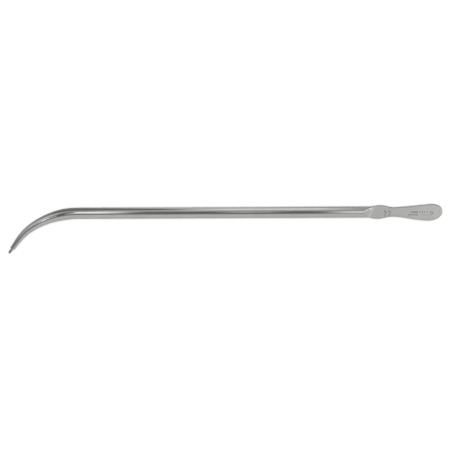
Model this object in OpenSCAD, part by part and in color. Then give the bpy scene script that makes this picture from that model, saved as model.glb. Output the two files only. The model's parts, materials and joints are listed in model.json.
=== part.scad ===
// Curved urethral sound with a screwed-in guide stud, lying flat on a table.
// The shaft runs along X at half its own thickness above the table. The beak is at -X and
// bends towards -Y, and the handle is at +X with its ground faces level.
// The origin is the middle of the bounding box, on the table.

/* [Shaft] */
// French gauge of the shaft: its diameter in thirds of a millimetre
gauge = 22; // [18:2:28]
// Overall length, from the end of the stud to the end of the handle
overall_len = 280; // [240:1:320]

/* [Beak] */
// Radius of the first, wide bend of the centre line
bend_r1 = 54; // [45:1:65]
// Angle that the first bend turns
bend_a1 = 32; // [20:1:36]
// Radius of the second, tighter bend
bend_r2 = 35; // [30:1:50]
// Angle that the second bend turns
bend_a2 = 22; // [16:1:40]
// Straight length between the bends and the shoulder
tip_straight = 6.8; // [5:0.1:9]
// Distance along the bend before the taper begins
taper_after = 10.5; // [2:0.5:15]
// Diameter at the shoulder
tip_d = 3.1; // [3:0.1:4]
// Radius that rounds the shoulder off
tip_round = 0.3; // [0.15:0.05:0.35]

/* [Guide stud] */
// Thread diameter, the same at both ends of the stud
thread_d = 2; // [1.8:0.1:2.2]
// Length of full thread outside the shoulder
thread_len = 2.3; // [1.5:0.1:4]
// Diameter of the plain neck between shoulder and thread
neck_d = 1.5; // [1.2:0.1:1.7]
// Length of the neck outside the shoulder
neck_len = 0.6; // [0.4:0.1:1]
// Radius that rounds the free end
stud_round = 0.4; // [0.2:0.05:0.5]
// Depth of the tapped socket in the beak
socket_depth = 4.4; // [3:0.1:5]
// Clearance between the stud and the socket, on the radius
socket_clear = 0.05; // [0.02:0.01:0.08]

/* [Handle] */
// Thickness between the two ground faces
handle_t = 2.8; // [2.2:0.1:3.4]
// Width of the bulge next to the shaft
bulge_w = 8.95; // [8:0.05:11]
// Width of the waist behind the bulge
waist_w = 6.2; // [5:0.05:7]
// Width of the finger paddle
paddle_w = 10.75; // [9:0.05:14]
// How far the paddle's middle lies below the shaft's line, towards the beak's side
paddle_drop = 0.46; // [0:0.02:0.8]
// How far the very end of the paddle comes back up from there
end_lift = 0.9; // [0:0.1:1.2]
// How far each side of the bulge is shifted along X, one side each way
stagger = 0.7; // [0:0.1:1]
// Distance from the handle's end to the start of the flare
flare_at = 46.9; // [44:0.1:50]
// Distance from the handle's end to the widest point of the bulge
bulge_at = 40.8; // [38:0.1:43]
// Distance from the handle's end to the waist
waist_at = 31.9; // [29:0.1:35]
// Distance from the handle's end to the widest point of the paddle
paddle_at = 8.3; // [7:0.1:12]
// Width of the rounded edge beside each ground face
edge_w = 0.9; // [0.5:0.05:1.2]
// Radius of the wheel that ground the faces, left as the run-out
wheel_r = 4; // [3:0.5:12]
// Distance from the handle's end to the end of the run-out
runout_at = 45.4; // [44:0.1:49]
// Angle by which the run-out is askew
runout_skew = 25; // [0:1:30]

/* [Stamps] */
// Depth of the stamped marks
stamp_depth = 0.15; // [0.05:0.01:0.3]
// Height of the gauge numerals
numeral_h = 3.7; // [2:0.1:4]
// Width of a stamped stroke
stroke_w = 0.42; // [0.3:0.02:0.5]

/* [Hidden] */
$fn = 96;

shaft_r = gauge / 6;
tip_r = tip_d / 2;
thread_r = thread_d / 2;
handle_h = handle_t / 2;
bend_a = bend_a1 + bend_a2;

// Where the pieces lie along X
x_end = overall_len / 2;
x_flare = x_end - flare_at;
x_bulge = x_end - bulge_at;
x_waist = x_end - waist_at;
x_paddle = x_end - paddle_at;
x_runout = x_end - runout_at;
runout_len = sqrt(2 * wheel_r * (shaft_r - handle_h) - pow(shaft_r - handle_h, 2));

// The stud's free end, measured from the shoulder
stud_out = neck_len + thread_len + stud_round;
end_core = tip_straight + stud_out - stud_round;
end_core_r = thread_r - stud_round;

// How far the beak and stud reach from the start of the first bend, back in X and down in Y
reach_x = bend_r1 * sin(bend_a1) + bend_r2 * (sin(bend_a) - sin(bend_a1))
        + end_core * cos(bend_a) + end_core_r * sin(bend_a) + stud_round;
reach_y = bend_r1 * (1 - cos(bend_a1)) + bend_r2 * (cos(bend_a1) - cos(bend_a))
        + end_core * sin(bend_a) + end_core_r * cos(bend_a) + stud_round;
x_bend = -overall_len / 2 + reach_x;

// Lengths along the beak's centre line, from the start of the first bend
bend_len1 = bend_r1 * bend_a1 * PI / 180;
bend_len2 = bend_r2 * bend_a2 * PI / 180;
shoulder_at = bend_len1 + bend_len2 + tip_straight;

lap = 2;          // how far a swept end reaches into the round shaft
skin = 0.006;     // how far below the shaft's surface it does so
shaft_from = x_bend + lap / 2;
shaft_to = x_runout - runout_len - 1.5 * lap;
eps = 0.01;

function mix(a, b, t) = a + (b - a) * t;
function ease(t) = (1 - cos(180 * min(1, max(0, t)))) / 2;

// ---- Beak ----

// Point of the centre line at length s, and the angle turned there
function turned(s) =
    s < 0 ? 0 :
    s < bend_len1 ? s / bend_r1 * 180 / PI :
    s < bend_len1 + bend_len2 ? bend_a1 + (s - bend_len1) / bend_r2 * 180 / PI :
    bend_a;
function bend_end1() = [-bend_r1 * sin(bend_a1), -bend_r1 * (1 - cos(bend_a1))];
function bend_end2() = bend_end1()
    + bend_r2 * [-(sin(bend_a) - sin(bend_a1)), -(cos(bend_a1) - cos(bend_a))];
function centre(s) =
    let (t = turned(s))
    s < 0 ? [-s, 0] :
    s < bend_len1 ? bend_r1 * [-sin(t), -(1 - cos(t))] :
    s < bend_len1 + bend_len2 ?
        bend_end1() + bend_r2 * [-(sin(t) - sin(bend_a1)), -(cos(bend_a1) - cos(t))] :
    bend_end2() + (s - bend_len1 - bend_len2) * [-cos(bend_a), -sin(bend_a)];

// Radius at length s: full, then an even taper, then the rounded shoulder
function taper_r(s) =
    mix(shaft_r, tip_r, max(0, s - taper_after) / (shoulder_at - taper_after));
function beak_r(s) =
    s < shoulder_at - tip_round ? taper_r(s) :
    taper_r(s) - tip_round + sqrt(max(0, pow(tip_round, 2) - pow(s - shoulder_at + tip_round, 2)));

// Lengths at which the beak has a section
beak_sides = 32;
beak_steps = 30;
shoulder_steps = 5;
beak_s = concat(
    [-lap],
    [for (i = [0:beak_steps]) (shoulder_at - tip_round) * i / beak_steps],
    [for (i = [1:shoulder_steps]) shoulder_at - tip_round * (1 - sin(90 * i / shoulder_steps))]);

function beak_ring(s) =
    let (c = centre(s), t = turned(s), r = beak_r(s) - skin)
    [for (i = [0:beak_sides - 1])
        let (a = -360 * (i + 0.5) / beak_sides)
        [c[0] - r * sin(a) * sin(t), c[1] + r * sin(a) * cos(t), r * cos(a)]];

// Closed body through rings that all have the same number of points. A rounded end is closed by
// a strip between the last ring's two halves, because that ring isn't flat
module loft(rings, rounded = false) {
    n = len(rings[0]);
    last = len(rings) - 1;
    points = [for (ring = rings) for (p = ring) p];
    sides = [for (k = [0:last - 1]) for (i = [0:n - 1])
        let (j = (i + 1) % n)
        [k * n + i, k * n + j, (k + 1) * n + j, (k + 1) * n + i]];
    strip = [for (i = [0:n / 2 - 2])
        let (a = last * n + i, b = last * n + n - 1 - i)
        [a, a + 1, b - 1, b]];
    quads = [for (f = concat(sides, rounded ? strip : []))
        for (t = [[f[0], f[1], f[2]], [f[0], f[2], f[3]]]) t];
    first_end = [[for (i = [n - 1:-1:0]) i]];
    last_end = rounded ? [] : [[for (i = [0:n - 1]) last * n + i]];
    polyhedron(points, concat(quads, first_end, last_end));
}

module beak() {
    translate([x_bend, 0, 0]) loft([for (s = beak_s) beak_ring(s)]);
}

// Places its children at the shoulder, with +Z out of the beak
module at_shoulder() {
    c = centre(shoulder_at);
    translate([x_bend + c[0], c[1], 0]) rotate([0, 0, bend_a]) rotate([0, -90, 0]) children();
}

// ---- Handle ----

// Half the width: a quarter wave out to the bulge, half a wave in to the waist, a nearly straight
// run out to the paddle, and the blunt end
function half_w(x) =
    x < x_flare ? shaft_r - skin :
    x < x_bulge ? mix(shaft_r - skin, bulge_w / 2, sin(90 * (x - x_flare) / (x_bulge - x_flare))) :
    x < x_waist ? mix(bulge_w / 2, waist_w / 2, ease((x - x_bulge) / (x_waist - x_bulge))) :
    x < x_paddle ? mix(waist_w / 2, paddle_w / 2, spread((x - x_waist) / (x_paddle - x_waist))) :
    paddle_w / 2 * pow(max(0, 1 - pow((x - x_paddle) / paddle_at, end_power)), 1 / end_power);
function spread(t) = mix(t, ease(t), 0.6);

// The middle of the width drops between the waist and the paddle and comes back at the end
function mid_y(x) = -paddle_drop * ease((x - x_drop) / drop_len)
    + end_lift * pow(max(0, x - x_end + lift_len) / lift_len, 2);
x_drop = x_end - 30;
drop_len = 13.5;
lift_len = 13;

// The side at +Y is shifted towards the end and the other one towards the shaft
function side_w(x, side) = half_w(x - side * stagger * (1 - ease((x - x_waist + 2) / 6)));

// Half the thickness: the shaft's, then the hollow left by the wheel, then the ground face
x_hollow = x_runout - runout_len;
function half_t(x) =
    x < x_hollow ? shaft_r - skin :
    x < x_runout ? min(shaft_r - skin,
        handle_h + wheel_r - sqrt(pow(wheel_r, 2) - pow(x_runout - x, 2))) :
    handle_h;

// The run-out is askew, so each section leans in plan by this much X for each unit of Y
function lean(x) = tan(runout_skew) * (1 - ease((x - x_runout) / (x_bulge - x_runout)));

end_power = 2.2;   // 2 would end the paddle in an ellipse, more is blunter
arc_steps = 10;     // steps round each edge
handle_x = concat(
    [x_hollow - 3 * lap],
    [for (i = [0:10]) mix(x_hollow, x_runout, i / 10)],
    [for (i = [1:8]) mix(x_runout, x_bulge, i / 8)],
    [for (i = [1:8]) mix(x_bulge, x_waist, i / 8)],
    [for (i = [1:12]) mix(x_waist, x_paddle, i / 12)],
    [for (i = [1:12]) x_paddle + (paddle_at - eps) * sin(90 * i / 12)]);

// Direction square to the outline at x, in plan: how much of it is along X, and across
function slope(x, side) = (side_w(x + eps / 2, side) - side_w(x - eps / 2, side)) / eps;
function along(x, side) = -slope(x, side) / norm([slope(x, side), 1]);
function across(x, side) = 1 / norm([slope(x, side), 1]);

// A point of the section at x. side is +1 for the +Y edge and -1 for the other, a goes round the
// edge. The edge is the round bar's own on the shaft and a narrow rounding on the handle.
function edge_point(x, side, a) =
    let (at = x + side * lean(x) * shaft_r,
         w = side_w(at, side),
         inset = edge_w * (1 - cos(a)),
         form = ease((x - x_hollow) / (x_runout - x_hollow)),
         z = half_t(x) * sin(a),
         bar_y = sqrt(max(0, pow(shaft_r - skin, 2) - z * z)) + eps / 4,
         y = mix(bar_y, max(eps / 4, w - inset * across(at, side)), form))
    [x + side * lean(x) * y - form * inset * along(at, side), mid_y(x) + side * y, z];
function handle_ring(x) = concat(
    [for (i = [0:arc_steps]) edge_point(x, 1, 90 - 180 * i / arc_steps)],
    [for (i = [0:arc_steps]) edge_point(x, -1, -90 + 180 * i / arc_steps)]);

module handle() {
    loft([for (x = handle_x) handle_ring(x)], rounded = true);
}

// ---- Stamps on the upper face ----

module stroke(from, to) {
    run = to - from;
    translate([from[0], from[1], 0]) rotate([0, 0, atan2(run[1], run[0])])
        translate([-stroke_w / 2, -stroke_w / 2, 0])
            cube([norm(run) + stroke_w, stroke_w, 1]);
}
module bow(at, r, from, to) {
    translate([at[0], at[1], 0]) rotate([0, 0, from])
        rotate_extrude(angle = to - from) translate([r - stroke_w / 2, 0]) square([stroke_w, 1]);
}

// Numerals on a grid 2 wide and 4 high, scaled to numeral_h
cell = (numeral_h - stroke_w) / 4;
module numeral(n) {
    if (n == 0) {
        bow([cell, 3 * cell], cell, 0, 180);
        bow([cell, cell], cell, 180, 360);
        stroke([0, cell], [0, 3 * cell]);
        stroke([2 * cell, cell], [2 * cell, 3 * cell]);
    }
    if (n == 1) {
        stroke([cell, 0], [cell, 4 * cell]);
        stroke([cell, 4 * cell], [0.2 * cell, 3.2 * cell]);
    }
    if (n == 2) {
        bow([cell, 3 * cell], cell, -40, 170);
        stroke(cell * [1.77, 2.36], [0, 0]);
        stroke([0, 0], [2 * cell, 0]);
    }
    if (n == 4) {
        stroke([1.5 * cell, 0], [1.5 * cell, 4 * cell]);
        stroke([1.5 * cell, 4 * cell], [0, 1.2 * cell]);
        stroke([0, 1.2 * cell], [2 * cell, 1.2 * cell]);
    }
    if (n == 6) {
        bow([cell, cell], cell, 0, 360);
        stroke([0.05 * cell, cell], [0.9 * cell, 4 * cell]);
    }
    if (n == 8) {
        bow([cell, cell], cell, 0, 360);
        bow([cell, 3 * cell], cell, 0, 360);
    }
}

numeral_pitch = 2.65;
narrow = 0.7;
module gauge_number() {
    for (k = [-1, 1])
        translate([k * numeral_pitch / 2, 0, 0]) scale([narrow, 1, 1]) translate([-cell, -2 * cell, 0])
            numeral(k < 0 ? floor(gauge / 10) : gauge % 10);
}

// A row of plain upright ticks
module ticks(count, pitch, high) {
    reach = (high - stroke_w) / 2;
    for (i = [0:count - 1])
        translate([i * pitch, 0, 0]) stroke([0, -reach], [0, reach]);
}
module lozenge(size) {
    rotate([0, 0, 45]) difference() {
        translate([-size / 2, -size / 2, 0]) cube([size, size, 1]);
        translate([-size / 2 + stroke_w, -size / 2 + stroke_w, -1])
            cube([size - 2 * stroke_w, size - 2 * stroke_w, 3]);
    }
}

number_at = 35.7;     // from the handle's end to the middle of the gauge number
number_y = -0.95;
top_row_y = -0.15;
low_row_y = -1.92;
top_row_at = 19.8;    // from the handle's end to the first tick of each row
low_row_at = 21.9;
tail_at = 14.6;       // and to the first of the wider-spaced ticks that finish it
lozenge_at = 7.1;     // to the middle of the lozenge
lozenge_y = -0.89;
module stamps() {
    translate([x_end, 0, handle_h - stamp_depth]) {
        translate([-number_at, number_y, 0]) gauge_number();
        translate([-top_row_at, top_row_y, 0]) ticks(6, 0.76, 1.6);
        translate([-tail_at, top_row_y, 0]) ticks(4, 1.5, 1.4);
        translate([-low_row_at, low_row_y, 0]) ticks(9, 0.7, 1.3);
        translate([-tail_at, low_row_y, 0]) ticks(6, 1.05, 0.9);
        translate([-lozenge_at, lozenge_y, 0]) lozenge(1.9);
    }
}

// ---- The two pieces ----

// The shaft's place in Y puts the bounding box's middle at the origin
paddle_tops = [for (k = [0:40]) let (x = x_paddle + k / 10) half_w(x) + mid_y(x)];
shaft_y = (reach_y - max(max(paddle_tops), bulge_w / 2)) / 2;

module on_table() {
    translate([0, shaft_y, shaft_r]) children();
}

module sound_body() {
    color("silver") on_table() difference() {
        union() {
            beak();
            translate([shaft_from, 0, 0]) rotate([0, 90, 0]) cylinder(h = shaft_to - shaft_from, r = shaft_r);
            handle();
        }
        at_shoulder() translate([0, 0, -socket_depth])
            cylinder(h = socket_depth + 1, r = thread_r + socket_clear);
        stamps();
    }
}

// Half outline of the stud, turned about its axis: socket thread, neck, guide thread, rounded end
stud_in = socket_depth - 0.4;
stud_chamfer = 0.25;
module tip_stud() {
    color("gainsboro") on_table() at_shoulder() rotate_extrude() polygon(concat(
        [[0, -stud_in],
         [thread_r - stud_chamfer, -stud_in],
         [thread_r, -stud_in + stud_chamfer],
         [thread_r, -neck_len],
         [neck_d / 2, -neck_len / 2],
         [neck_d / 2, neck_len - stud_chamfer],
         [thread_r, neck_len]],
        [for (a = [0:15:90])
            [end_core_r + stud_round * cos(a), neck_len + thread_len + stud_round * sin(a)]],
        [[0, stud_out]]));
}

sound_body();
tip_stud();
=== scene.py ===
import bmesh
import bpy
import json
import math
from mathutils import Matrix, Vector


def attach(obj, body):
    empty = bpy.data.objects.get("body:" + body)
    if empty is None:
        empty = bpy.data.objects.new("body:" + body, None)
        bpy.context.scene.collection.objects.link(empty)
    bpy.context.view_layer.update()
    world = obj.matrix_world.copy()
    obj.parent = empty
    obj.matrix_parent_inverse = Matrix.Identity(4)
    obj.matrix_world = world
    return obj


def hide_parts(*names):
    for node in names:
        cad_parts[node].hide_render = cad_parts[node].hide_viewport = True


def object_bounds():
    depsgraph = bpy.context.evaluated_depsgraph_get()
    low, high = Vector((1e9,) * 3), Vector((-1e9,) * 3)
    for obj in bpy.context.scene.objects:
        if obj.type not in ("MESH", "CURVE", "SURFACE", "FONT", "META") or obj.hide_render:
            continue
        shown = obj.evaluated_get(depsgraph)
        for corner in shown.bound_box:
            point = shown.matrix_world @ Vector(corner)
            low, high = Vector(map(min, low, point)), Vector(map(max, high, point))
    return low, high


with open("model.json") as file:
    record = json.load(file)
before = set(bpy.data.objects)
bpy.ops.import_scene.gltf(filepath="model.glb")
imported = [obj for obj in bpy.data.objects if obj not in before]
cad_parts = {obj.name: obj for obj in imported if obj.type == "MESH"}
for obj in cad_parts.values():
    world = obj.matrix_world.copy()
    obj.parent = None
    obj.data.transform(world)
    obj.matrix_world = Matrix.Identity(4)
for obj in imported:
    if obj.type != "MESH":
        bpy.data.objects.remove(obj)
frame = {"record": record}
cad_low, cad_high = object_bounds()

# A curved urethral sound lying on a pale table. Lengths in this file are in millimetres until
# they reach a mesh, which is in metres.
MM = 0.001

# ---- Sizes, as in the part's source ----

SHAFT_R = 22 / 6
BAR_R = SHAFT_R - 0.0035   # of the modelled bar, just inside the exact one
BEND_R1 = 54.0
BEND_R2 = 35.0
BEND_A1 = math.radians(32)
BEND_A = math.radians(54)
TIP_STRAIGHT = 6.8
TAPER_AFTER = 10.5
TIP_R = 1.55
TIP_ROUND = 0.3
SOCKET_R = 1.05
SOCKET_DEPTH = 4.4

HANDLE_H = 1.4
BULGE_W = 4.475
WAIST_W = 3.1
PADDLE_W = 5.371
PADDLE_DROP = 0.46
END_LIFT = 0.9
STAGGER = 0.7
END_POWER = 2.2
EDGE_W = 0.9
WHEEL_R = 4.0
RUNOUT_SKEW = math.tan(math.radians(25))

# Where things are along X: the handle's stations are measured back from its end
X_END = cad_high.x / MM
X_FLARE = X_END - 46.9
X_BULGE = X_END - 40.8
X_WAIST = X_END - 31.9
X_PADDLE = X_END - 8.3
X_DROP = X_END - 30.0
DROP_LEN = 13.5
LIFT_LEN = 13.0
X_RUNOUT = X_END - 45.4
PADDLE_LEN = X_END - X_PADDLE
RUNOUT_LEN = math.sqrt(2 * WHEEL_R * (SHAFT_R - HANDLE_H) - (SHAFT_R - HANDLE_H) ** 2)
X_HOLLOW = X_RUNOUT - RUNOUT_LEN

BEND_LEN1 = BEND_R1 * BEND_A1
BEND_LEN2 = BEND_R2 * (BEND_A - BEND_A1)
SHOULDER_AT = BEND_LEN1 + BEND_LEN2 + TIP_STRAIGHT


def mount(name):
    """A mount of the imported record: its middle in millimetres and its axis."""
    found = next(m for m in frame["record"]["mounts"] if m["name"] == name)
    return Vector(found["pos_m"]) / MM, Vector(found["axis"]).normalized()


THREAD_MID, TIP_AXIS = mount("guide_thread")
NECK_LEN = 0.6
THREAD_LEN = 2.3
SHOULDER = THREAD_MID - TIP_AXIS * (NECK_LEN + THREAD_LEN / 2)
SHAFT_Z = SHAFT_R


def ease(t):
    """0 to 1 along half a cosine wave, flat outside."""
    return (1 - math.cos(math.pi * min(1.0, max(0.0, t)))) / 2


def mix(a, b, t):
    return a + (b - a) * t


# ---- Centre line of the beak ----


def turned(s):
    """Angle that the centre line has turned at length s past the start of the bend."""
    if s < BEND_LEN1:
        return max(0.0, s) / BEND_R1
    if s < BEND_LEN1 + BEND_LEN2:
        return BEND_A1 + (s - BEND_LEN1) / BEND_R2
    return BEND_A


def centre(s):
    """Point of the centre line at length s, from the start of the bend."""
    if s < 0:
        return Vector((-s, 0, 0))
    a = turned(s)
    if s < BEND_LEN1:
        return BEND_R1 * Vector((-math.sin(a), -(1 - math.cos(a)), 0))
    first = BEND_R1 * Vector((-math.sin(BEND_A1), -(1 - math.cos(BEND_A1)), 0))
    rise = Vector((math.sin(BEND_A1) - math.sin(a), math.cos(a) - math.cos(BEND_A1), 0))
    if s < BEND_LEN1 + BEND_LEN2:
        return first + BEND_R2 * rise
    return first + BEND_R2 * rise + (s - BEND_LEN1 - BEND_LEN2) * TIP_AXIS


START = SHOULDER - centre(SHOULDER_AT)
START.z = SHAFT_Z
SHAFT_Y = START.y


def beak_radius(s):
    """Radius at length s: the shaft's, then an even taper to the shoulder, eased at its start."""
    run = s - TAPER_AFTER
    soft = 3.0
    if run < -soft:
        return BAR_R
    slope = (BAR_R - TIP_R) / (SHOULDER_AT - TAPER_AFTER)
    if run < soft:
        return BAR_R - slope * (run + soft) ** 2 / (4 * soft)
    return BAR_R - slope * run


# ---- Handle ----


def half_width(x):
    """Half the handle's width: flare, bulge, waist, paddle and its blunt end."""
    if x < X_FLARE:
        return BAR_R
    if x < X_BULGE:
        return mix(BAR_R, BULGE_W, math.sin(math.pi / 2 * (x - X_FLARE) / (X_BULGE - X_FLARE)))
    if x < X_WAIST:
        return mix(BULGE_W, WAIST_W, ease((x - X_BULGE) / (X_WAIST - X_BULGE)))
    if x < X_PADDLE:
        t = (x - X_WAIST) / (X_PADDLE - X_WAIST)
        return mix(WAIST_W, PADDLE_W, mix(t, ease(t), 0.6))
    t = min(1.0, (x - X_PADDLE) / PADDLE_LEN)
    return PADDLE_W * (1 - t**END_POWER) ** (1 / END_POWER)


def side_width(x, side):
    """Half the width on one side: the bulge's two sides are a little out of step."""
    return half_width(x - side * STAGGER * (1 - ease((x - X_WAIST + 2) / 6)))


def middle(x):
    """The middle of the width: it drops behind the waist and comes back at the end."""
    lift = max(0.0, x - X_END + LIFT_LEN) / LIFT_LEN
    return END_LIFT * lift**2 - PADDLE_DROP * ease((x - X_DROP) / DROP_LEN)


def outward(x, side):
    """Direction square to the outline of one side at x, in plan: along X, and across."""
    if x > X_END - 1e-6:
        return 1.0, 0.0
    step = min(0.01, (X_END - x) / 2)
    slope = (side_width(x + step, side) - side_width(x - step, side)) / (2 * step)
    size = math.hypot(slope, 1)
    return -slope / size, 1 / size


def ground_height(x):
    """Half the thickness left by the wheel: a hollow run-out, then the level face."""
    before = max(0.0, X_RUNOUT - x)
    return HANDLE_H + (SHAFT_R - HANDLE_H) * (before / RUNOUT_LEN) ** 2


def soft_min(a, b, k):
    """The smaller of a and b, with the corner between them rounded over k."""
    if k <= 0:
        return min(a, b)
    h = max(k - abs(a - b), 0) / k
    return min(a, b) - h * h * k / 4


# ---- The body's mesh ----

QUARTER = 24   # points in a quarter of a section
EDGE_STEPS = 14   # of which this many lie on the handle's rounded edge
RUNOUT_BLEND = 2.5   # how far polishing has rounded the run-out's upper corner over
LEAN_RUN = 9.0       # how far before the hollow the sections start to lean
LEAN_EASE = 6.0      # and over how far they do so
CLOSE_RUN = 2.5      # how far before the hollow the sections are set close together
SATIN_FADE = 0.8     # height that the wheel has to take off before a place is wholly satin
RIM = 0.9 * HANDLE_H   # the rounded edge is satin from here up
AROUND = 4 * QUARTER


def quarter_points():
    """(sign of y, sign of z, step) round a section: step 0 is at the side and QUARTER on top."""
    for i in range(QUARTER):
        yield 1, 1, QUARTER - i
    for i in range(QUARTER):
        yield 1, -1, i
    for i in range(QUARTER):
        yield -1, -1, QUARTER - i
    for i in range(QUARTER):
        yield -1, 1, i


def beak_section(s, radius, reach=0.0):
    """Section of the beak: (place, straightened place, ground) for each point."""
    c = START + centre(s) + TIP_AXIS * reach
    a = turned(s)
    ring = []
    for side, up, step in quarter_points():
        turn = math.pi / 2 * step / QUARTER
        y = side * radius * math.cos(turn)
        z = up * radius * math.sin(turn)
        place = c + Vector((-y * math.sin(a), y * math.cos(a), z))
        ring.append((place, Vector((-s - reach, y, z)), 0.0))
    return ring


def handle_point(x, lean, side, up, step):
    """Point of the ground and rounded handle."""
    at = x + side * lean * SHAFT_R
    w = side_width(at, side)
    along, across = outward(at, side)
    far = max(0.0, (step - EDGE_STEPS) / (QUARTER - EDGE_STEPS))
    a = math.pi / 2 * min(1.0, step / EDGE_STEPS)
    inset = EDGE_W * (1 - math.cos(a))
    y = max(0.0, w - inset * across) * (1 - far)
    return Vector((x + side * lean * y - inset * along, middle(x) + side * y, up * HANDLE_H * math.sin(a)))


def body_section(x):
    """Section of shaft or handle at x, leaning in plan where the run-out is askew."""
    form = ease((x - X_HOLLOW) / RUNOUT_LEN)
    lean = RUNOUT_SKEW * (1 - ease((x - X_RUNOUT) / (X_BULGE - X_RUNOUT)))
    lean *= ease((x - X_HOLLOW + LEAN_RUN) / LEAN_EASE)
    ground = ground_height(x)
    ring = []
    for side, up, step in quarter_points():
        turn = math.pi / 2 * step / QUARTER
        y = side * side_width(x + side * lean * SHAFT_R, side) * math.cos(turn)
        p = Vector((x + lean * y, y, up * BAR_R * math.sin(turn)))
        if form > 0:
            p = p.lerp(handle_point(x, lean, side, up, step), form)
        high = abs(p.z)
        cut = ease((high - ground) / SATIN_FADE)
        level = ease((high - RIM) / (HANDLE_H - RIM))
        p.z = up * soft_min(high, ground, RUNOUT_BLEND * (1 - form))
        place = Vector((0, SHAFT_Y, SHAFT_Z)) + p
        ring.append((place, Vector((p.x - START.x, p.y, p.z)), mix(cut, level, form)))
    return ring


def spread(low, high, count):
    """count even steps after low, up to high."""
    return [low + (high - low) * (i + 1) / count for i in range(count)]


def thread_ridge(angle, depth, pitch=0.4):
    """0 at a thread's crest and 1 at its root, for a right-hand thread."""
    phase = (depth / pitch + angle / (2 * math.pi)) % 1
    return min(1.0, max(0.0, 1.3 * abs(2 * phase - 1) - 0.15))


def socket_sections():
    """From the middle of the socket's floor, up its threaded wall and over the lip."""
    yield beak_section(SHOULDER_AT, 0.0, -SOCKET_DEPTH - 0.25)
    yield beak_section(SHOULDER_AT, SOCKET_R * 0.5, -SOCKET_DEPTH - 0.1)
    yield beak_section(SHOULDER_AT, SOCKET_R, -SOCKET_DEPTH)
    for k in range(1, 84):
        depth = SOCKET_DEPTH - 0.05 * k
        ring = beak_section(SHOULDER_AT, SOCKET_R, -depth)
        axis_point = START + centre(SHOULDER_AT) - TIP_AXIS * depth
        fade = min(1.0, (k / 8), (depth - 0.15) / 0.3)
        for i, (place, straight, shine) in enumerate(ring):
            groove = 0.14 * thread_ridge(2 * math.pi * i / AROUND, depth) * max(0.0, fade)
            grown = axis_point + (place - axis_point) * (1 + groove / SOCKET_R)
            ring[i] = (grown, straight, shine)
        yield ring
    yield beak_section(SHOULDER_AT, SOCKET_R, -0.1)
    yield beak_section(SHOULDER_AT, SOCKET_R + 0.08, -0.01)


def shoulder_sections():
    """The flat ring round the socket and its rounded edge."""
    at = SHOULDER_AT - TIP_ROUND
    flat = beak_radius(SHOULDER_AT) - TIP_ROUND
    for k in range(9):
        a = math.pi / 2 * k / 8
        yield beak_section(at, flat + TIP_ROUND * math.sin(a), TIP_ROUND * math.cos(a))


def body_sections():
    yield from socket_sections()
    yield from shoulder_sections()
    for s in spread(SHOULDER_AT - TIP_ROUND, -2.0, 76):
        yield beak_section(s, beak_radius(s))
    for x in spread(START.x + 2.0, X_HOLLOW - LEAN_RUN, 24):
        yield body_section(x)
    for x in spread(X_HOLLOW - LEAN_RUN, X_HOLLOW - CLOSE_RUN, 14):
        yield body_section(x)
    for x in spread(X_HOLLOW - CLOSE_RUN, X_RUNOUT, 70):
        yield body_section(x)
    for x in spread(X_RUNOUT, X_PADDLE, 90):
        yield body_section(x)
    for t in spread(0, math.pi / 2, 36):
        yield body_section(X_PADDLE + PADDLE_LEN * math.sin(t))


def mesh_object(name, bm):
    """A finished bmesh, in millimetres, as an object in metres at the origin."""
    mesh = bpy.data.meshes.new(name)
    bmesh.ops.scale(bm, vec=(MM, MM, MM), verts=bm.verts)
    bm.to_mesh(mesh)
    bm.free()
    made = bpy.data.objects.new(name, mesh)
    bpy.context.collection.objects.link(made)
    return made


def make_body():
    """One skin: up the socket, over the shoulder, along beak, shaft and handle to its end."""
    bm = bmesh.new()
    straight_layer = bm.verts.layers.float_vector.new("straight")
    ground_layer = bm.verts.layers.float.new("ground")
    rings = []
    for section in body_sections():
        ring = []
        for place, straight, shine in section:
            v = bm.verts.new(place)
            v[straight_layer] = straight
            v[ground_layer] = shine
            ring.append(v)
        rings.append(ring)
    for one, two in zip(rings, rings[1:]):
        for i in range(AROUND):
            j = (i + 1) % AROUND
            bm.faces.new((one[i], two[i], two[j], one[j]))
    bmesh.ops.remove_doubles(bm, verts=bm.verts, dist=0.0005)
    bmesh.ops.dissolve_degenerate(bm, edges=bm.edges, dist=0.0002)
    bmesh.ops.recalc_face_normals(bm, faces=bm.faces)
    return mesh_object("forged_body", bm)


# ---- Stamped marks ----

STROKE_R = 0.22
STAMP_DEPTH = 0.15
NARROW = 0.7       # of the numerals, across
NUMERAL_PITCH = 2.65
FACE_Z = SHAFT_Z + HANDLE_H


def numeral_two(size):
    """Points of a plain 2, drawn from the top left, in a box half as wide as it is high."""
    r = size / 4
    points = []
    for k in range(13):
        a = math.radians(170 - 210 * k / 12)
        points.append((r + r * math.cos(a), 3 * r + r * math.sin(a)))
    points += [(0, 0), (2 * r, 0)]
    return points


def lozenge_points(size):
    half = size / 2
    return [(half, 0), (0, half), (-half, 0), (0, -half), (half, 0)]


def strokes_object(name, lines):
    """Lines on the handle's upper face, as a mesh of edges. One that ends where it began is closed."""
    bm = bmesh.new()
    for line in lines:
        closed = line[0] == line[-1]
        points = line[:-1] if closed else line
        made = [bm.verts.new((x, y, FACE_Z + STROKE_R - STAMP_DEPTH)) for x, y in points]
        for one, two in zip(made, made[1:]):
            bm.edges.new((one, two))
        if closed:
            bm.edges.new((made[-1], made[0]))
    return mesh_object(name, bm)


def node(tree, kind, at=(0, 0), **values):
    """A node with its settings and the values of its inputs."""
    made = tree.nodes.new(kind)
    made.location = at
    for key, value in values.items():
        if hasattr(made, key):
            setattr(made, key, value)
        else:
            made.inputs[key].default_value = value
    return made


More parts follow.
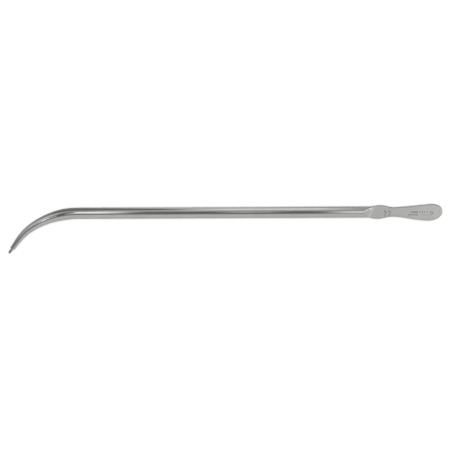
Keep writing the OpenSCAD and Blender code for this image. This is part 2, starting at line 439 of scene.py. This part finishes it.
def nodes_tree(name, inputs):
    """An empty Geometry Nodes tree with a geometry input and named float or integer inputs."""
    tree = bpy.data.node_groups.new(name, "GeometryNodeTree")
    tree.interface.new_socket("Geometry", in_out="INPUT", socket_type="NodeSocketGeometry")
    tree.interface.new_socket("Geometry", in_out="OUTPUT", socket_type="NodeSocketGeometry")
    for label, kind in inputs:
        tree.interface.new_socket(label, in_out="INPUT", socket_type=kind)
    return tree, tree.nodes.new("NodeGroupInput"), tree.nodes.new("NodeGroupOutput")


def run_tree(thing, tree, values):
    """Runs a tree on an object and leaves the result as its plain mesh."""
    modifier = thing.modifiers.new("build", "NODES")
    modifier.node_group = tree
    for item in tree.interface.items_tree:
        if item.in_out == "INPUT" and item.name in values:
            modifier[item.identifier] = values[item.name]
    depsgraph = bpy.context.evaluated_depsgraph_get()
    mesh = bpy.data.meshes.new_from_object(thing.evaluated_get(depsgraph))
    thing.modifiers.remove(modifier)
    thing.data = mesh
    return thing


def stroke_tree(material):
    """Turns lines into round-ended grooves' tools."""
    tree, given, result = nodes_tree("stamp_strokes", [("Stroke Radius", "NodeSocketFloat")])
    link = tree.links.new
    lines = node(tree, "GeometryNodeMeshToCurve")
    profile = node(tree, "GeometryNodeCurvePrimitiveCircle", Resolution=12)
    sweep = node(tree, "GeometryNodeCurveToMesh")
    sweep.inputs["Fill Caps"].default_value = True
    real = node(tree, "GeometryNodeRealizeInstances")
    paint = node(tree, "GeometryNodeSetMaterial", Material=material)
    link(given.outputs["Geometry"], lines.inputs["Mesh"])
    link(given.outputs["Stroke Radius"], profile.inputs["Radius"])
    link(lines.outputs["Curve"], sweep.inputs["Curve"])
    link(profile.outputs["Curve"], sweep.inputs["Profile Curve"])
    link(sweep.outputs["Mesh"], real.inputs["Geometry"])
    link(real.outputs["Geometry"], paint.inputs["Geometry"])
    link(paint.outputs["Geometry"], result.inputs["Geometry"])
    return tree


def numeral_lines(x, y, size):
    """The gauge number, about its middle."""
    lines = []
    for k in (-1, 1):
        left = x + k * NUMERAL_PITCH / 2 - NARROW * size / 4
        lines.append([(left + NARROW * a, y - size / 2 + b) for a, b in numeral_two(size)])
    return lines


def tick_lines(x, y, count, pitch, high):
    """A row of plain upright ticks."""
    reach = high / 2 - STROKE_R
    return [[(x + k * pitch, y - reach), (x + k * pitch, y + reach)] for k in range(count)]


def stamp_lines():
    """The gauge number, two rows of plain ticks and a lozenge."""
    lines = numeral_lines(X_END - 35.7, SHAFT_Y - 0.95, 3.28)
    lines += tick_lines(X_END - 19.8, SHAFT_Y - 0.15, 6, 0.76, 1.6)
    lines += tick_lines(X_END - 14.6, SHAFT_Y - 0.15, 4, 1.5, 1.4)
    lines += tick_lines(X_END - 21.9, SHAFT_Y - 1.92, 9, 0.7, 1.3)
    lines += tick_lines(X_END - 14.6, SHAFT_Y - 1.92, 6, 1.05, 0.9)
    x, y = X_END - 7.1, SHAFT_Y - 0.89
    lines.append([(x + a, y + b) for a, b in lozenge_points(2.1)])
    return lines


def face_outwards(thing):
    bm = bmesh.new()
    bm.from_mesh(thing.data)
    bmesh.ops.recalc_face_normals(bm, faces=bm.faces)
    bm.to_mesh(thing.data)
    bm.free()


def stamp(body, recess):
    """Cuts the strokes into the handle's face."""
    body.data.materials.append(recess)
    tool = strokes_object("stamp_tool", stamp_lines())
    run_tree(tool, stroke_tree(recess), {"Stroke Radius": STROKE_R * MM})
    face_outwards(tool)
    cut = body.modifiers.new("stamp", "BOOLEAN")
    cut.operation = "DIFFERENCE"
    cut.solver = "EXACT"
    cut.material_mode = "TRANSFER"
    cut.object = tool
    depsgraph = bpy.context.evaluated_depsgraph_get()
    mesh = bpy.data.meshes.new_from_object(body.evaluated_get(depsgraph))
    body.modifiers.remove(cut)
    body.data = mesh
    bpy.data.objects.remove(tool)


# ---- The stud ----

THREAD_R = 1.0
ROOT_R = 0.77
NECK_R = 0.75
STUD_IN = 4.0
END_ROUND = 0.4
HAIR = 0.006        # off the end, to stay inside the CAD box
STUD_OUT = NECK_LEN + THREAD_LEN + END_ROUND - HAIR
PITCH = 0.4
NECK_IN = 0.3       # how far the neck reaches into the socket
NECK_FADE = 0.3     # length over which the thread grows out of the neck
NECK_EARLY = 0.2    # of which this much lies inside the neck


def thread_tree(material):
    """A threaded rod: a grid wrapped round Z, its radius following a helix and the ends' shape."""
    tree, given, result = nodes_tree(
        "threaded_stud",
        [
            ("Pitch", "NodeSocketFloat"),
            ("Crest Radius", "NodeSocketFloat"),
            ("Root Radius", "NodeSocketFloat"),
            ("Neck Radius", "NodeSocketFloat"),
            ("Inner Length", "NodeSocketFloat"),
            ("Neck Length", "NodeSocketFloat"),
            ("Outer Length", "NodeSocketFloat"),
            ("End Round", "NodeSocketFloat"),
        ],
    )
    link = tree.links.new

    def maths(operation, a, b=0.0, c=0.0):
        made = tree.nodes.new("ShaderNodeMath")
        made.operation = operation
        for socket, value in zip(made.inputs, (a, b, c)):
            if isinstance(value, (int, float)):
                socket.default_value = value
            else:
                link(value, socket)
        return made.outputs[0]

    grid = node(tree, "GeometryNodeMeshGrid")
    grid.inputs["Size X"].default_value = 1.0
    grid.inputs["Size Y"].default_value = 1.0
    grid.inputs["Vertices X"].default_value = 65
    grid.inputs["Vertices Y"].default_value = 321
    place = tree.nodes.new("GeometryNodeInputPosition")
    parts = tree.nodes.new("ShaderNodeSeparateXYZ")
    link(place.outputs[0], parts.inputs[0])
    whole = maths("ADD", given.outputs["Inner Length"], given.outputs["Outer Length"])
    share = maths("ADD", parts.outputs["Y"], 0.5)
    height = maths("SUBTRACT", maths("MULTIPLY", share, whole), given.outputs["Inner Length"])
    turns = maths("ADD", parts.outputs["X"], 0.5)

    phase = maths("FRACT", maths("SUBTRACT", maths("DIVIDE", height, given.outputs["Pitch"]), turns))
    saw = maths("ABSOLUTE", maths("SUBTRACT", maths("MULTIPLY", phase, 2.0), 1.0))
    flank = maths("SUBTRACT", maths("MULTIPLY", saw, 1.35), 0.12)
    flank = maths("MINIMUM", maths("MAXIMUM", flank, 0.0), 1.0)
    deep = maths("SUBTRACT", given.outputs["Crest Radius"], given.outputs["Root Radius"])
    thread = maths("ADD", given.outputs["Root Radius"], maths("MULTIPLY", flank, deep))

    # the neck: at both its ends the thread grows out of it
    above = maths("SUBTRACT", height, given.outputs["Neck Length"])
    below = maths("SUBTRACT", -NECK_IN * MM, height)
    outside = maths("MAXIMUM", above, below)
    fade = maths("DIVIDE", maths("ADD", outside, NECK_EARLY * MM), NECK_FADE * MM)
    fade = maths("MINIMUM", maths("MAXIMUM", fade, 0.0), 1.0)
    wide = maths("SUBTRACT", thread, given.outputs["Neck Radius"])
    cut = maths("ADD", given.outputs["Neck Radius"], maths("MULTIPLY", wide, fade))

    # the ends: a quarter round outside, a chamfer inside
    to_end = maths("SUBTRACT", given.outputs["Outer Length"], height)
    round_r = given.outputs["End Round"]
    gap = maths("MAXIMUM", maths("SUBTRACT", round_r, to_end), 0.0)
    squares = maths("SUBTRACT", maths("MULTIPLY", round_r, round_r), maths("MULTIPLY", gap, gap))
    bulge = maths("SQRT", maths("MAXIMUM", squares, 0.0))
    core = maths("SUBTRACT", given.outputs["Crest Radius"], round_r)
    top_limit = maths("ADD", core, bulge)
    to_start = maths("ADD", given.outputs["Inner Length"], height)
    low_limit = maths("ADD", given.outputs["Neck Radius"], to_start)
    radius = maths("MINIMUM", maths("MINIMUM", cut, top_limit), low_limit)

    angle = maths("MULTIPLY", turns, 2 * math.pi)
    x = maths("MULTIPLY", radius, maths("COSINE", angle))
    y = maths("MULTIPLY", radius, maths("SINE", angle))
    wrapped = tree.nodes.new("ShaderNodeCombineXYZ")
    link(x, wrapped.inputs[0])
    link(y, wrapped.inputs[1])
    link(height, wrapped.inputs[2])
    move = tree.nodes.new("GeometryNodeSetPosition")
    link(grid.outputs["Mesh"], move.inputs["Geometry"])
    link(wrapped.outputs[0], move.inputs["Position"])
    real = tree.nodes.new("GeometryNodeRealizeInstances")
    paint = node(tree, "GeometryNodeSetMaterial", Material=material)
    link(move.outputs[0], real.inputs[0])
    link(real.outputs[0], paint.inputs["Geometry"])
    link(paint.outputs[0], result.inputs[0])
    return tree


def make_stud(material):
    stud = mesh_object("guide_stud", bmesh.new())
    sizes = {
        "Pitch": PITCH * MM,
        "Crest Radius": THREAD_R * MM,
        "Root Radius": ROOT_R * MM,
        "Neck Radius": NECK_R * MM,
        "Inner Length": STUD_IN * MM,
        "Neck Length": NECK_LEN * MM,
        "Outer Length": STUD_OUT * MM,
        "End Round": END_ROUND * MM,
    }
    run_tree(stud, thread_tree(material), sizes)
    bm = bmesh.new()
    bm.from_mesh(stud.data)
    bmesh.ops.remove_doubles(bm, verts=bm.verts, dist=1e-7)
    rims = [e for e in bm.edges if e.is_boundary]
    bmesh.ops.holes_fill(bm, edges=rims, sides=0)
    caps = [f for f in bm.faces if len(f.verts) > 4]
    bmesh.ops.poke(bm, faces=caps)
    bmesh.ops.recalc_face_normals(bm, faces=bm.faces)
    local = bm.verts.layers.float_vector.new("straight")
    for v in bm.verts:
        v[local] = v.co / MM
    turn = TIP_AXIS.to_track_quat("Z", "Y").to_matrix().to_4x4()
    bm.transform(Matrix.Translation(SHOULDER * MM) @ turn)
    bm.to_mesh(stud.data)
    bm.free()
    return stud


# ---- Materials ----


def new_material(name):
    made = bpy.data.materials.new(name)
    made.use_nodes = True
    tree = made.node_tree
    shader = tree.nodes["Principled BSDF"]
    return made, tree, shader


def steel(name, colour, rough, ground_rough):
    """Polished stainless steel: long fine polishing lines, and a satin finish where it is ground."""
    made, tree, shader = new_material(name)
    link = tree.links.new
    shader.inputs["Metallic"].default_value = 1.0
    straight = node(tree, "ShaderNodeAttribute", attribute_name="straight")
    ground = node(tree, "ShaderNodeAttribute", attribute_name="ground")

    stretch = node(tree, "ShaderNodeMapping")
    stretch.inputs["Scale"].default_value = (0.05, 3.0, 3.0)
    link(straight.outputs["Vector"], stretch.inputs["Vector"])
    lines = node(tree, "ShaderNodeTexNoise", Scale=4.0, Detail=5.0, Roughness=0.6)
    link(stretch.outputs["Vector"], lines.inputs["Vector"])

    cloud = node(tree, "ShaderNodeTexNoise", Scale=0.12, Detail=4.0, Roughness=0.55)
    link(straight.outputs["Vector"], cloud.inputs["Vector"])

    tone = node(tree, "ShaderNodeMapRange")
    tone.inputs["From Min"].default_value = 0.3
    tone.inputs["From Max"].default_value = 0.7
    tone.inputs["To Min"].default_value = 0.0
    tone.inputs["To Max"].default_value = 1.0
    link(cloud.outputs["Fac"], tone.inputs["Value"])
    shade = node(tree, "ShaderNodeMix", data_type="RGBA")
    shade.inputs["A"].default_value = (*[c * 0.96 for c in colour], 1)
    shade.inputs["B"].default_value = (*[min(1, c * 1.03) for c in colour], 1)
    link(tone.outputs["Result"], shade.inputs["Factor"])
    link(shade.outputs["Result"], shader.inputs["Base Color"])

    base = node(tree, "ShaderNodeMapRange")
    base.inputs["To Min"].default_value = rough
    base.inputs["To Max"].default_value = ground_rough
    link(ground.outputs["Fac"], base.inputs["Value"])
    vary = node(tree, "ShaderNodeMath", operation="MULTIPLY_ADD")
    vary.inputs[1].default_value = 0.03
    link(lines.outputs["Fac"], vary.inputs[0])
    link(base.outputs["Result"], vary.inputs[2])
    link(vary.outputs[0], shader.inputs["Roughness"])

    bump = node(tree, "ShaderNodeBump", Strength=0.04, Distance=0.00002)
    link(lines.outputs["Fac"], bump.inputs["Height"])
    link(bump.outputs["Normal"], shader.inputs["Normal"])
    return made


def recess_steel():
    """The floor of a stamped mark: duller and darker than the face round it; the darker colour is painted
    shade in the groove.
    """
    made, tree, shader = new_material("stamped_recess")
    shader.inputs["Metallic"].default_value = 1.0
    spots = node(tree, "ShaderNodeTexNoise", Scale=2500.0, Detail=3.0)
    place = tree.nodes.new("ShaderNodeTexCoord")
    tree.links.new(place.outputs["Object"], spots.inputs["Vector"])
    # painted shade: the groove's floor is coloured far darker than the steel round it
    groove_shade_tint = node(tree, "ShaderNodeMix", data_type="RGBA")
    groove_shade_tint.inputs["A"].default_value = (0.16, 0.155, 0.15, 1)
    groove_shade_tint.inputs["B"].default_value = (0.26, 0.255, 0.25, 1)
    tree.links.new(spots.outputs["Fac"], groove_shade_tint.inputs["Factor"])
    tree.links.new(groove_shade_tint.outputs["Result"], shader.inputs["Base Color"])
    shader.inputs["Roughness"].default_value = 0.55
    return made


def floor_paint():
    made, tree, shader = new_material("pale_table")
    shader.inputs["Base Color"].default_value = (0.93, 0.93, 0.93, 1)
    shader.inputs["Roughness"].default_value = 0.9
    shader.inputs["Specular IOR Level"].default_value = 0.0
    return made


# ---- Build ----

polished = steel("polished_steel", (0.585, 0.583, 0.572), 0.03, 0.3)
bright = steel("stud_steel", (0.56, 0.558, 0.55), 0.2, 0.3)
recess = recess_steel()

body = make_body()
body.data.materials.append(polished)
stamp(body, recess)
body.data.shade_smooth()
body.data.set_sharp_from_angle(angle=math.radians(32))

stud = make_stud(bright)
stud.data.shade_smooth()
stud.data.set_sharp_from_angle(angle=math.radians(50))

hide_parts("sound_body")
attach(body, "sound")
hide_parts("tip_stud")
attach(stud, "stud")

# ---- Studio ----

bpy.ops.mesh.primitive_plane_add(size=8, location=(0, 0, 0))
table_top = bpy.context.object
table_top.name = "table_top"
table_top.data.materials.append(floor_paint())


def soft_edge(tree, value, low, high):
    """A ramp from 0 to 1 over low at the start of a coordinate and back over high at its end."""
    ends = []
    for start, stop in ((0.0, low), (1.0, 1.0 - high)):
        ramp = node(tree, "ShaderNodeMapRange", interpolation_type="SMOOTHSTEP")
        ramp.inputs["From Min"].default_value = start
        ramp.inputs["From Max"].default_value = stop
        tree.links.new(value, ramp.inputs["Value"])
        ends.append(ramp.outputs["Result"])
    both = node(tree, "ShaderNodeMath", operation="MULTIPLY")
    tree.links.new(ends[0], both.inputs[0])
    tree.links.new(ends[1], both.inputs[1])
    return both.outputs[0]


def card(name, low, high, level, soft, turn=0.0):
    """A card that only reflections see, level or upright along X. low and high are opposite
    corners. soft is the width of its faded border, in metres: left, right, near (or low), far.
    turn, in degrees, then turns it about the upright line through its middle."""
    low, high = Vector(low), Vector(high)
    size = high - low
    rise = Vector((0, size.y, size.z))
    run = Vector((size.x, 0, 0))
    mesh = bpy.data.meshes.new(name)
    mesh.from_pydata([low, low + run, high, low + rise], [], [(0, 1, 2, 3)])
    pivot = Matrix.Translation((low + high) / 2)
    spin = Matrix.Rotation(math.radians(turn), 4, "Z")
    mesh.transform(pivot @ spin @ pivot.inverted())
    uv = mesh.uv_layers.new(name="UVMap")
    for loop, corner in zip(uv.data, ((0, 0), (1, 0), (1, 1), (0, 1))):
        loop.uv = corner
    made, tree, shader = new_material(name)
    tree.nodes.remove(shader)
    link = tree.links.new
    place = tree.nodes.new("ShaderNodeTexCoord")
    parts = tree.nodes.new("ShaderNodeSeparateXYZ")
    link(place.outputs["UV"], parts.inputs[0])
    along = soft_edge(tree, parts.outputs["X"], soft[0] / run.length, soft[1] / run.length)
    across = soft_edge(tree, parts.outputs["Y"], soft[2] / rise.length, soft[3] / rise.length)
    mask = node(tree, "ShaderNodeMath", operation="MULTIPLY")
    link(along, mask.inputs[0])
    link(across, mask.inputs[1])
    emit = node(tree, "ShaderNodeEmission", Strength=level)
    clear = tree.nodes.new("ShaderNodeBsdfTransparent")
    blend = tree.nodes.new("ShaderNodeMixShader")
    link(mask.outputs[0], blend.inputs[0])
    link(clear.outputs[0], blend.inputs[1])
    link(emit.outputs[0], blend.inputs[2])
    link(blend.outputs[0], tree.nodes["Material Output"].inputs["Surface"])
    mesh.materials.append(made)
    thing = bpy.data.objects.new(name, mesh)
    bpy.context.collection.objects.link(thing)
    thing.visible_camera = False
    thing.visible_diffuse = False
    thing.visible_shadow = False
    thing.visible_transmission = False
    return thing


# The studio's overhead. In the middle hangs the dark place round the camera, with a paler patch in
# it. Soft lights hang to its left and right, the left one beside a narrow bright slit that lights
# the beak. Dim and dark cards lie between and beyond them. A lower card hides those above it.
card("dim_strip", (-0.7, -0.62, 0.84), (0.7, 0.0, 0.84), 0.30, (0.14, 0.14, 0.15, 0.15))
card("left_dim", (-0.62, 0.10, 0.838), (-0.16, 0.95, 0.838), 0.44, (0.06, 0.03, 0.12, 0.1))
card("left_dark", (-0.34, -0.28, 0.835), (-0.16, 0.40, 0.835), 0.16, (0.04, 0.01, 0.1, 0.14))
card("camera_gap", (-0.15, -0.30, 0.83), (0.16, 0.50, 0.83), 0.18, (0.05, 0.05, 0.2, 0.2))
card("pale_patch", (-0.02, -0.05, 0.828), (0.08, 0.45, 0.828), 0.62, (0.04, 0.04, 0.1, 0.2))
card("far_dim", (-0.16, 0.20, 0.826), (0.62, 0.78, 0.826), 0.40, (0.08, 0.15, 0.15, 0.25))
card("left_light", (-0.1885, -0.14, 0.82), (-0.093, 0.53, 0.82), 1.42, (0.008, 0.07, 0.2, 0.24))
card("left_patch", (-0.3155, -0.15, 0.819), (-0.3035, 0.175, 0.819), 2.6, (0.003, 0.003, 0.06, 0.08), 25)
card("far_left_light", (-1.60, 0.24, 0.815), (-0.42, 1.80, 0.815), 0.80, (0.1, 0.06, 0.06, 0.1))
card("left_low_dark", (-0.95, -0.40, 0.813), (-0.38, 0.28, 0.813), 0.22, (0.05, 0.06, 0.1, 0.06))
card("left_end_dark", (-2.20, -0.40, 0.812), (-0.82, 0.70, 0.812), 0.18, (0.1, 0.12, 0.1, 0.08))
card("right_light", (0.105, -0.46, 0.81), (0.80, 0.46, 0.81), 0.95, (0.05, 0.15, 0.25, 0.25))
card("far_right_light", (0.50, -0.16, 0.80), (1.70, 0.32, 0.80), 1.50, (0.2, 0.3, 0.1, 0.1))
card("right_dim", (0.26, -0.50, 0.805), (0.66, -0.02, 0.805), 0.66, (0.12, 0.12, 0.1, 0.1))

# Behind the object: dark flags at both ends and a pale panel in the middle
card("dark_flag", (-0.38, 0.45, -0.3), (-0.015, 0.45, 0.40), 0.18, (0.08, 0.06, 0.12, 0.15))
card("dark_flag_left", (-1.60, 0.455, -0.3), (-0.26, 0.455, 0.40), 0.34, (0.1, 0.08, 0.12, 0.15))
card("dark_flag_right", (0.08, 0.45, -0.3), (0.60, 0.45, 0.50), 0.38, (0.08, 0.1, 0.12, 0.15))
card("pale_panel", (-0.055, 0.46, -0.3), (0.18, 0.46, 0.45), 1.0, (0.07, 0.1, 0.15, 0.2))

# What the steel sees of the table is grey: cards that only reflections see, a painted reflection of the
# table darker than the lit table itself
card("table_reflection_painted_grey", (-0.9, -0.9, 0.0004), (0.9, 0.9, 0.0004), 0.64, (0.18, 0.18, 0.18, 0.18))
# Painted shadow of the object on the table, as only the steel sees it: darker strips just beyond its +Y
# side, darkest on the left
card("painted_shadow_reflection_right", (0.02, 0.012, 0.0005), (0.4, 0.3, 0.0005), 0.50, (0.06, 0.07, 0.006, 0.1))
card("painted_shadow_reflection_left", (-0.4, 0.012, 0.0006), (-0.03, 0.3, 0.0006), 0.30, (0.07, 0.07, 0.006, 0.006))

world = bpy.data.worlds.new("studio")
bpy.context.scene.world = world
world.use_nodes = True
world.node_tree.nodes["Background"].inputs["Color"].default_value = (1, 1, 1, 1)
world.node_tree.nodes["Background"].inputs["Strength"].default_value = 0.7

key_data = bpy.data.lights.new("key", "AREA")
key_data.shape = "RECTANGLE"
key_data.size = 1.6
key_data.size_y = 1.6
key_data.energy = 24
key = bpy.data.objects.new("key", key_data)
key.location = (0, 0, 1.6)
key.visible_glossy = False
bpy.context.collection.objects.link(key)

# ---- Camera ----

VIEW_WIDTH = 0.28992   # of the scene, across the frame, at the height of the shaft's axis
CAMERA_UP = 1.0
CAMERA_LEFT = 0.00012    # of the scene's middle
CAMERA_NEAR = 0.00793    # how far the camera stands towards the viewer from the shaft's axis
CAMERA_TWIST = -0.255    # degrees
camera_data = bpy.data.cameras.new("camera")
camera_data.sensor_width = 36
camera_data.lens = 36 * CAMERA_UP / VIEW_WIDTH
camera = bpy.data.objects.new("camera", camera_data)
camera.location = (-CAMERA_LEFT, SHAFT_Y * MM - CAMERA_NEAR, SHAFT_Z * MM + CAMERA_UP)
camera.rotation_euler = (0, 0, math.radians(CAMERA_TWIST))
bpy.context.collection.objects.link(camera)
bpy.context.scene.camera = camera
bpy.context.scene.view_settings.view_transform = "Standard"

bpy.context.view_layer.update()
